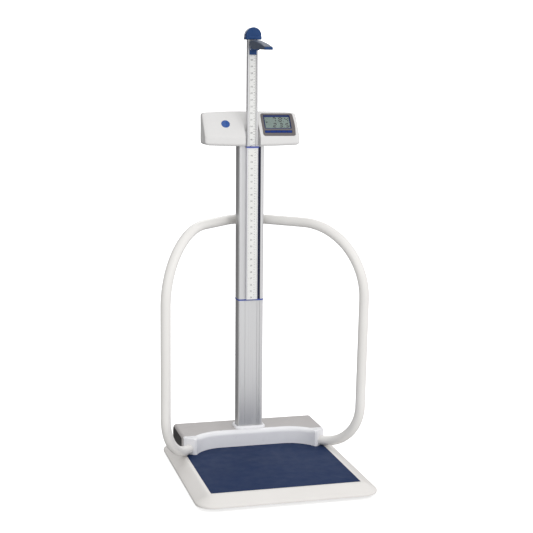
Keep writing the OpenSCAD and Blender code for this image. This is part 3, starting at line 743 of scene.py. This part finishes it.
def make_head():
    stations = [0.0, 40.0, 80.0, 96.0, 112.0, 128.0, 144.0, 158.0, HEAD_END]
    stations += [lerp(HEAD_END, HEAD_X, math.sin(math.pi / 2 * i / 9)) for i in range(1, 10)]
    stations = [-x for x in reversed(stations[1:])] + stations
    whole = build("head_whole", loft([head_section(x) for x in stations]))
    flare = CHANNEL_X + CHANNEL_FLARE
    plan = [(-flare, 190), (flare, 190), (CHANNEL_X, 236), (CHANNEL_X, CHANNEL_Y), (-CHANNEL_X, CHANNEL_Y),
            (-CHANNEL_X, 236)]
    channel = build("channel", loft([ring_at(plan, 1180), ring_at(plan, 1420)]))
    pocket = build("pocket", moved(pillow(rounded_rect(50, 162, 10, 102, 4), -5.0, 8.0, 0.5), FACE))
    cut(whole, channel, pocket)
    for name, node, side in (("head_front", "head_front_shell", 1), ("head_back", "head_rear_shell", -1)):
        obj = bpy.data.objects.new(name, whole.data.copy())
        scene.collection.objects.link(obj)
        work = bmesh.new()
        work.from_mesh(obj.data)
        seam = 0.35 * side
        plane = (FACE_FOOT - OUT * (SPLIT_DEPTH - seam)) * MM
        made = bmesh.ops.bisect_plane(work, geom=work.verts[:] + work.edges[:] + work.faces[:],
                                      plane_co=plane, plane_no=OUT, clear_inner=side > 0,
                                      clear_outer=side < 0)
        rim = [e for e in made["geom_cut"] if isinstance(e, bmesh.types.BMEdge)]
        bmesh.ops.holes_fill(work, edges=rim)
        bmesh.ops.recalc_face_normals(work, faces=work.faces)
        work.to_mesh(obj.data)
        work.free()
        soften(obj, 1.6, 46.0)
        finish_piece(obj, "head_plastic", "base", node)
    bpy.data.objects.remove(whole)


def make_bezel():
    low, high, left, right = 13.3, 99.9, 51.3, 163.5
    bulge = arc((-54.5, (low + high) / 2), 230.0, -11.9, 11.9, 10)
    outline = arc((right, high), 9.0, 10, 90, 8) + arc((left, high), 9.0, 90, 180, 8)
    outline += arc((left, low), 9.0, 180, 270, 8) + arc((right, low), 9.0, 270, 350, 8) + bulge[2:-2]
    plate = build("bezel", moved(pillow(outline, -3.2, 1.9, 1.3, 0.0), FACE))
    window_outline = rounded_rect(52.0, 160.4, 37.2, 101.2, 3.0)
    keys_outline = rounded_rect(49.6, 160.4, 17.6, 29.4, 2.0)
    window = build("window", moved(pillow(window_outline, -8.0, 8.0, 0.4), FACE))
    keys = build("keys", moved(pillow(keys_outline, -8.0, 8.0, 0.4), FACE))
    cut(plate, window, keys)
    soften(plate, 0.6, 50.0)
    finish_piece(plate, "bezel_grey", "base", "display_bezel")


def make_lcd():
    frame_outline = rounded_rect(52.2, 160.2, 37.4, 101.0, 3.0)
    view_outline = rounded_rect(56.4, 156.2, 41.0, 93.4, 1.5)
    screen_outline = rounded_rect(55.0, 157.6, 39.6, 97.4, 1.0)
    frame_plate = build("lcd_frame", moved(pillow(frame_outline, -3.0, 0.2, 0.5), FACE))
    view = build("view", moved(pillow(view_outline, -8.0, 8.0, 0.4), FACE))
    cut(frame_plate, view)
    soften(frame_plate, 0.5, 50.0)
    finish_piece(frame_plate, "navy_strip", "base")
    frame_plate.data.materials[0] = FRAME_BLUE
    panel = build("lcd_screen", moved(pillow(screen_outline, -5.0, -1.8, 0.4), FACE))
    finish_piece(panel, "lcd_film", "base", "lcd_panel")
    make_readings()


SEGMENTS = {2: "abged", 3: "abgcd", 4: "fgbc", 5: "afgcd", 7: "abc", 8: "abcdefg"}


def segment_digit(value, x, s, width, height, z):
    """The lit bars of one seven-bar digit whose lower left corner is (x, s)."""
    t = width * 0.28
    mid = s + height / 2
    lean = 0.10
    bars = {
        "a": (x + t * 0.6, s + height - t, x + width - t * 0.6, s + height),
        "g": (x + t * 0.8, mid - t / 2, x + width - t * 0.8, mid + t / 2),
        "d": (x + t * 0.6, s, x + width - t * 0.6, s + t),
        "f": (x, mid + t * 0.3, x + t, s + height - t * 0.5),
        "b": (x + width - t, mid + t * 0.3, x + width, s + height - t * 0.5),
        "e": (x, s + t * 0.5, x + t, mid - t * 0.3),
        "c": (x + width - t, s + t * 0.5, x + width, mid - t * 0.3),
    }
    shells = []
    for key in SEGMENTS[value]:
        x0, y0, x1, y1 = bars[key]
        half = min(x1 - x0, y1 - y0) / 2
        flat = x1 - x0 > y1 - y0
        if flat:
            outline = [(x0, (y0 + y1) / 2), (x0 + half, y0), (x1 - half, y0), (x1, (y0 + y1) / 2),
                       (x1 - half, y1), (x0 + half, y1)]
        else:
            outline = [((x0 + x1) / 2, y0), (x1, y0 + half), (x1, y1 - half), ((x0 + x1) / 2, y1),
                       (x0, y1 - half), (x0, y0 + half)]
        outline = [(px + (py - s) * lean, py) for px, py in outline]
        shells.append(loft([ring_at(outline, z), ring_at(outline, z + 0.15)]))
    return shells


def make_readings():
    z = -1.82
    shells = []
    for value, x, s in ((7, 86.0, 70.5), (8, 111.0, 70.5), (4, 136.0, 70.5),
                        (2, 86.0, 44.5), (3, 111.0, 44.5), (5, 136.0, 44.5)):
        shells += segment_digit(value, x, s, 16.5, 21.5, z)
    for s in (70.5, 44.5):
        shells.append(pillow(rounded_rect(131.0, 133.8, s, s + 2.8, 1.3, 4), z, z + 0.15, 0.05))
    shells.append(loft([ring_at([(62.0, 66.0), (70.0, 69.5), (62.0, 73.0)], h) for h in (z, z + 0.15)]))
    obj = build("lcd_readings", *[moved(shell, FACE) for shell in shells])
    finish_piece(obj, "lcd_film", "base")
    obj.data.materials[0] = DIGITS


def make_keys():
    pitch, width, height, first, middle = 22.0, 21.3, 9.9, 60.7, 23.5
    for i in range(5):
        x = first + i * pitch
        outline = rounded_rect(x - width / 2, x + width / 2, middle - height / 2, middle + height / 2,
                               2.0, 6)
        cap = pillow(outline, -2.2, 2.4, 1.0)
        stem_outline = rounded_rect(x - 2.2, x + 2.2, middle - 2.2, middle + 2.2, 2.0, 6)
        stem = pillow(stem_outline, -6.9, -2.0, 0.2)
        name = f"key_{i + 1}"
        finish_piece(build(name.replace("_", "_top_"), moved(cap, FACE), moved(stem, FACE)), "key_blue",
                     name, name)


def make_badge():
    sides = 64
    profile = [(17.0, -0.4), (17.0, 0.5), (16.4, 1.1), (15.4, 1.3), (14.2, 1.1), (13.6, 0.5), (12.8, 0.45),
               (9.0, 0.95), (4.5, 1.25), (0.5, 1.35)]
    rings = [[(-102 + r * math.cos(2 * math.pi * k / sides), 60 + r * math.sin(2 * math.pi * k / sides), h)
              for k in range(sides)] for r, h in profile]
    finish_piece(build("round_badge", moved(loft(rings), FACE)), "badge_blue", "base", "head_badge")


def make_battery_door():
    back = axes((0, 0, 0), Vector((-1, 0, 0)), Vector((0, 0, 1)), Vector((0, 1, 0)))
    outline = rounded_rect(64.4, 165.6, 1262.4, 1337.6, 5.0)
    grip = [pillow(rounded_rect(100, 130, z, z + 1.6, 0.7, 4), 322.6, 323.9, 0.5) for z in
            (1322, 1326, 1330)]
    obj = build("battery_door", moved(pillow(outline, 312.0, 322.9, 1.0), back),
                *[moved(g, back) for g in grip])
    finish_piece(obj, "head_plastic", "base", "battery_cover")


make_head()
make_bezel()
make_lcd()
make_keys()
make_badge()
make_battery_door()


# ---- printed rules ---------------------------------------------------------------------

INCH = 25.4
TOP_NUMERAL, TOP_NUMERAL_Z = 60, 1573.4
FIXED_NUMERAL, FIXED_NUMERAL_Z = 24, 648.7


def numerals(texts):
    """Printed numbers as one shell: texts are (string, x, z, height) on a plane that faces the user."""
    points, faces = [], []
    graph = bpy.context.evaluated_depsgraph_get()
    for text, x, z, height in texts:
        curve = bpy.data.curves.new("numeral", "FONT")
        curve.body = text
        curve.size = height * 1.35
        curve.align_x = "CENTER"
        curve.align_y = "CENTER"
        curve.extrude = 0.06
        curve.resolution_u = 4
        obj = bpy.data.objects.new("numeral", curve)
        scene.collection.objects.link(obj)
        graph.update()
        mesh = bpy.data.meshes.new_from_object(obj.evaluated_get(graph), depsgraph=graph)
        start = len(points)
        points += [(v.co.x + x, v.co.y + z, v.co.z) for v in mesh.vertices]
        faces += [[start + i for i in p.vertices] for p in mesh.polygons]
        bpy.data.objects.remove(obj)
        bpy.data.curves.remove(curve)
        bpy.data.meshes.remove(mesh)
    return points, faces


def make_rule_marks(name, body, y, x_half, z_low, z_high, zero_z, first, last, inch_x, cm_x):
    """Inch ticks and numerals on the left and a centimetre scale on the right of one printed rule."""
    shells = []
    face = axes((0, y, 0), Vector((1, 0, 0)), Vector((0, 0, 1)), Vector((0, -1, 0)))
    for n in range(first * 8, last * 8 + 1):
        z = zero_z + n * INCH / 8
        if z_low < z < z_high:
            length = 5.0 if n % 8 == 0 else 3.8 if n % 4 == 0 else 2.4
            shells.append(slab((-x_half + 0.6, z - 0.16, -0.06), (-x_half + 0.6 + length, z + 0.16, 0.06)))
    for n in range(int(first * 25.4), int(last * 25.4) + 1):
        z = zero_z + n
        if z_low < z < z_high:
            length = 4.2 if n % 10 == 0 else 3.0 if n % 5 == 0 else 1.7
            shells.append(slab((x_half - 0.6 - length, z - 0.10, -0.06), (x_half - 0.6, z + 0.10, 0.06)))
    texts = [(str(n), inch_x, zero_z + n * INCH, 6.6) for n in range(first, last + 1)
             if z_low + 5 < zero_z + n * INCH < z_high - 5]
    texts += [(str(n), cm_x, zero_z + n * 10, 3.0) for n in range(int(first * 2.54), int(last * 2.54) + 1)
              if z_low + 3 < zero_z + n * 10 < z_high - 3]
    shells.append(numerals(texts))
    obj = build(name, *[moved(shell, face) for shell in shells])
    finish_piece(obj, "rule_label", body)
    obj.data.materials[0] = INK


def make_rules():
    low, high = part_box("fixed_rule")
    make_rule_marks("fixed_rule_print", "base", low.y / MM, high.x / MM, low.z / MM, high.z / MM,
                    FIXED_NUMERAL_Z - FIXED_NUMERAL * INCH, FIXED_NUMERAL - 1, 47, -4.0, 8.6)
    low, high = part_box("rod_rule")
    make_rule_marks("rod_rule_print", "rod", low.y / MM, high.x / MM, low.z / MM, high.z / MM,
                    TOP_NUMERAL_Z - TOP_NUMERAL * INCH, 26, TOP_NUMERAL + 3, -3.6, 6.2)


make_rules()


# ---- height rod, carriage and arm -------------------------------------------------------

HINGE_Y, HINGE_Z = 203.0, 1622.0
ARM_X, FORK_X = 15.5, 10.6
ARM_TIP = -13.0


def make_rod_cap():
    low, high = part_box("rod_cap")
    x_half, y0, y1 = high.x / MM, low.y / MM, high.y / MM
    z0, z1 = low.z / MM, high.z / MM
    middle, y_half = (y0 + y1) / 2, (y1 - y0) / 2
    lip = [(0.0, 1.4), (0.5, 0.4), (1.8, 0.0), (7.0, 0.1), (11.0, 0.5), (12.6, 1.2), (13.4, 2.4),
           (13.7, 4.0)]
    rings = [ring_at(centred_rect(2 * (x_half - dent * 0.4), 2 * (y_half - dent), 6.0, middle), z0 + up)
             for up, dent in lip]
    edge, back_in, dome_z, base_z = 6.0, 1.2, z1 - x_half, z0 + 12.0
    slices = []
    for i in range(13):
        a = math.radians(180 * i / 12)
        t = edge * (1 - abs(math.cos(a)))
        y = y0 + 2.2 + t if i < 7 else y1 - back_in - t
        r = x_half - 0.7 - edge * (1 - math.sin(a)) * 0.8
        arch = [(r, base_z)] + arc((0.0, dome_z), r, 0, 180, 28) + [(-r, base_z)]
        slices.append([(x, y, z) for x, z in arch])
    finish_piece(build("top_cap", loft(rings), loft(slices)), "blue_plastic", "rod", "rod_cap", angle=50.0)


def arm_section(y, half, bottom, top, crown):
    """A cross-section of the arm cover: square below, rounded above."""
    shoulder = min(crown, (top - bottom) * 0.8)
    left = arc((-half + shoulder, top - shoulder), shoulder, 180, 90, 6)
    right = arc((half - shoulder, top - shoulder), shoulder, 90, 0, 6)
    outline = [(-half, bottom)] + left + right + [(half, bottom)]
    return [(x, y, z) for x, z in outline]


def make_arm_cover():
    sections = [(220.0, ARM_X - 0.6, -2.6, 20.2, 2.6), (219.5, ARM_X - 0.1, -3.0, 22.0, 3.2),
                (218.0, ARM_X, -3.0, 23.4, 3.6), (215.5, ARM_X, -3.0, 24.0, 3.8),
                (203.0, ARM_X, -3.0, 24.0, 4.0), (189.5, ARM_X, -3.0, 24.0, 4.0),
                (186.5, ARM_X, -8.6, 24.0, 4.0), (165.0, ARM_X, -9.3, 24.0, 4.2),
                (145.0, ARM_X, -10.0, 22.0, 4.6), (125.0, ARM_X, -10.8, 19.4, 4.8),
                (85.0, ARM_X, -12.2, 13.6, 4.5), (45.0, ARM_X, -13.6, 6.6, 4.0),
                (15.0, ARM_X, -14.6, 0.4, 3.0), (-3.0, ARM_X - 0.2, -14.8, -3.6, 2.4)]
    rings = [arm_section(y, half, HINGE_Z + low, HINGE_Z + high, crown)
             for y, half, low, high, crown in sections]
    cover = build("arm_top", loft(rings))
    room = build("room", slab((-FORK_X, 176, HINGE_Z - 30), (FORK_X, 240, HINGE_Z + 13)))
    cut(cover, room)
    soften(cover, 0.8, 50.0)
    finish_piece(cover, "arm_grey", "arm", "arm_cover")


def make_arm():
    """Two blue cheeks under the cover, the nose between them, and the blade out to the tip."""
    heel = arc((HINGE_Y + 10.0, HINGE_Z - 6.0), 7.0, 0, -90, 6)
    toe = arc((HINGE_Y - 13.5, HINGE_Z - 9.5), 3.5, -90, -180, 5)
    side = [(HINGE_Y + 17.0, HINGE_Z - 3.1)] + heel + toe + [(HINGE_Y - 17.0, HINGE_Z - 3.1)]
    shells = []
    for x0, turn in ((FORK_X, 1), (-FORK_X, -1)):
        at = axes((x0, 0, 0), Vector((0, 1, 0)), Vector((0, 0, 1)), Vector((turn, 0, 0)))
        shells.append(moved(pillow(side[::-1], 0.0, ARM_X - 0.3 - FORK_X, 1.2, 0.0, 3), at))
    nose = rounded_rect(HINGE_Y - 17.0, HINGE_Y - 12.0, HINGE_Z - 13.0, HINGE_Z - 3.1, 2.2, 4)
    across = axes((-FORK_X - 1.0, 0, 0), Vector((0, 1, 0)), Vector((0, 0, 1)), Vector((1, 0, 0)))
    shells.append(moved(pillow(nose, 0.0, 2 * (FORK_X + 1.0), 0.4), across))
    droop = Matrix.Rotation(math.radians(2.0), 4, "X")
    root = Matrix.Translation((0.0, HINGE_Y - 20.0, HINGE_Z)) @ droop
    reach = HINGE_Y - 20.0 - ARM_TIP
    tip = rounded_rect(-ARM_X, ARM_X, -reach, -reach + 24.0, 4.0, 6)
    shells.append(moved(pillow(tip, -9.2, 1.4, 2.2, 1.8), root))
    core = rounded_rect(-ARM_X + 2.0, ARM_X - 2.0, -reach + 18.0, -17.0, 1.0, 3)
    shells.append(moved(pillow(core, -9.0, 0.0, 0.5), root))
    finish_piece(build("arm_blade", *shells), "blue_plastic", "arm", "measuring_arm")


make_rod_cap()
make_arm_cover()
make_arm()


# ---- CAD nodes that show as they are ----------------------------------------------------

EDGES = {
    "lower_column": 0.5, "upper_column": 0.5, "column_ring": 0.5, "rule_cover": 0.5, "rule_bushing": 0.6,
    "height_rod": 0.35, "carriage": 0.9, "hinge_pin": 0.4, "rail_saddle": 1.5, "rail_clamp": 2.0,
    "clamp_screws": 0.4, "head_screws": 0.4, "foot_plate_bolts": 0.5, "base_frame": 1.0, "load_cells": 0.8,
    "supply_inlet": 0.5, "foot_1": 0.4, "foot_2": 0.4, "foot_3": 0.4, "foot_4": 0.4, "foot_pad_1": 0.5,
    "foot_pad_2": 0.5, "foot_pad_3": 0.5, "foot_pad_4": 0.5, "rod_glide": 0.4, "column_foot_plate": 1.0,
}


def dress_cad_nodes():
    slots = {row["node"]: row["material_slot"] for row in frame["record"]["subparts"]}
    for node, obj in frame["nodes"].items():
        if obj.hide_render:
            continue
        obj.data.materials.clear()
        obj.data.materials.append(LOOKS[slots[node]])
        if node in EDGES:
            soften(obj, EDGES[node], 35.0, 2, weld=True)


dress_cad_nodes()


# ---- studio ----------------------------------------------------------------------------
# Metres. The floor and backdrop glow so that both show as plain white.

FLOOR_HALF, FLOOR_GLOW = 24.0, 0.55
BACKDROP_R, BACKDROP_GLOW = 28.0, 1.0
BRIGHTEST = (0.378, -0.737, 0.557)
SKY_LOW, SKY_STRENGTH = 0.14, 0.95


def stage_object(name, mesh, brightness):
    """A white surface that takes shadows but neither lights the object nor mirrors in it."""
    obj = bpy.data.objects.new(name, mesh)
    scene.collection.objects.link(obj)
    look = Look(name, (0.95, 0.95, 0.95), 0.85, specular=0.0)
    look.clouds(900, (0.93, 0.93, 0.93), 0.5)
    look.shader.inputs["Emission Color"].default_value = (1.0, 1.0, 1.0, 1.0)
    look.shader.inputs["Emission Strength"].default_value = brightness
    mesh.materials.append(look.material)
    obj.visible_diffuse = obj.visible_glossy = obj.visible_transmission = False
    return obj


def make_stage():
    size = FLOOR_HALF
    corners = [(-size, -size, 0), (size, -size, 0), (size, size, 0), (-size, size, 0)]
    floor = bpy.data.meshes.new("floor")
    floor.from_pydata(corners, [], [(0, 1, 2, 3)])
    stage_object("floor", floor, FLOOR_GLOW)
    shell = bmesh.new()
    bmesh.ops.create_icosphere(shell, subdivisions=4, radius=BACKDROP_R)
    backdrop = bpy.data.meshes.new("backdrop")
    shell.to_mesh(backdrop)
    shell.free()
    stage_object("backdrop", backdrop, BACKDROP_GLOW).visible_shadow = False


def make_light(name, place, target, size, power):
    data = bpy.data.lights.new(name, "AREA")
    data.shape = "RECTANGLE"
    data.size, data.size_y = size
    data.energy = power
    light = bpy.data.objects.new(name, data)
    scene.collection.objects.link(light)
    light.location = place
    aim = Vector(target) - Vector(place)
    light.rotation_euler = aim.to_track_quat("-Z", "Y").to_euler()


def make_world():
    """Soft light that is brightest above and in front of the object and dim behind it."""
    world = bpy.data.worlds.new("studio")
    scene.world = world
    world.use_nodes = True
    nodes, links = world.node_tree.nodes, world.node_tree.links
    background = nodes["Background"]
    place = nodes.new("ShaderNodeTexCoord")
    towards = nodes.new("ShaderNodeVectorMath")
    towards.operation = "DOT_PRODUCT"
    towards.inputs[1].default_value = BRIGHTEST
    links.new(place.outputs["Generated"], towards.inputs[0])
    ramp = nodes.new("ShaderNodeMapRange")
    ramp.interpolation_type = "SMOOTHSTEP"
    for name, number in (("From Min", -1.0), ("From Max", 0.5), ("To Min", SKY_LOW), ("To Max", 1.0)):
        ramp.inputs[name].default_value = number
    links.new(towards.outputs["Value"], ramp.inputs["Value"])
    links.new(ramp.outputs["Result"], background.inputs["Color"])
    background.inputs["Strength"].default_value = SKY_STRENGTH


make_stage()
make_world()
make_light("key", (2.6, -3.4, 3.6), (0.0, 0.1, 0.7), (2.4, 2.4), 30.0)
make_light("front", (-1.2, -4.6, 2.2), (0.0, 0.2, 0.8), (2.0, 2.0), 22.0)
make_light("rear", (0.8, 3.6, 3.0), (0.0, 0.2, 0.8), (2.6, 2.6), 30.0)
scene.view_settings.view_transform = "Standard"
